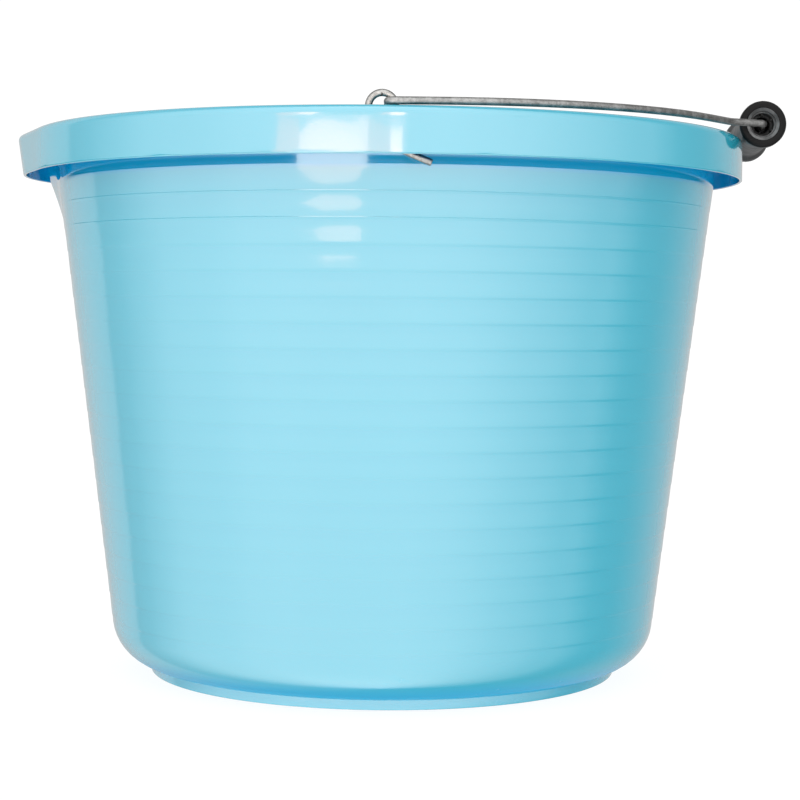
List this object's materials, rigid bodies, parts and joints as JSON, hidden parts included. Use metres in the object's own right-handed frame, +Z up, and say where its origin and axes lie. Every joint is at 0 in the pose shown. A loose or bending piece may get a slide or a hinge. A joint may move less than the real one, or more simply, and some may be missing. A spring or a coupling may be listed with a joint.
{
  "type": "feed bucket",
  "caption": "Round tapered plastic feed bucket with a rolled rim, a pouring spout, wire eyes, a swinging wire bail and a loose tubular hand grip.",
  "frame": {"origin": "centre of the base, on the plane that the foot ring stands on", "axes": "+Z up out of the mouth; the spout points to -X and the bail rests on the rim towards +X; the wire eyes stand at -Y (front) and +Y (rear)"},
  "size_m": [0.3583, 0.33, 0.265],
  "materials": {
    "tub_plastic": "glossy moulded polypropylene, sky blue",
    "eye_wire": "bright zinc-plated wire",
    "bail_wire": "dull galvanised wire",
    "grip_plastic": "black moulded plastic, semi-gloss"
  },
  "bodies": {
    "tub": {"bucket_tub": "tub_plastic", "front_eye": "eye_wire", "rear_eye": "eye_wire"},
    "bail": {"bail": "bail_wire"},
    "grip": {"grip": "grip_plastic"}
  },
  "joints": [
    {"name": "bail_swing", "type": "hinge", "parent": "tub", "child": "bail", "pos_m": [0.0014, 0, 0.2498], "axis": [0, -1, 0], "range_deg": [0, 175.4]},
    {"name": "grip_spin", "type": "hinge", "parent": "bail", "child": "grip", "pos_m": [0.1725, 0, 0.2545], "axis": [0.0827, 0.9966, 0.0023], "continuous": true}
  ]
}
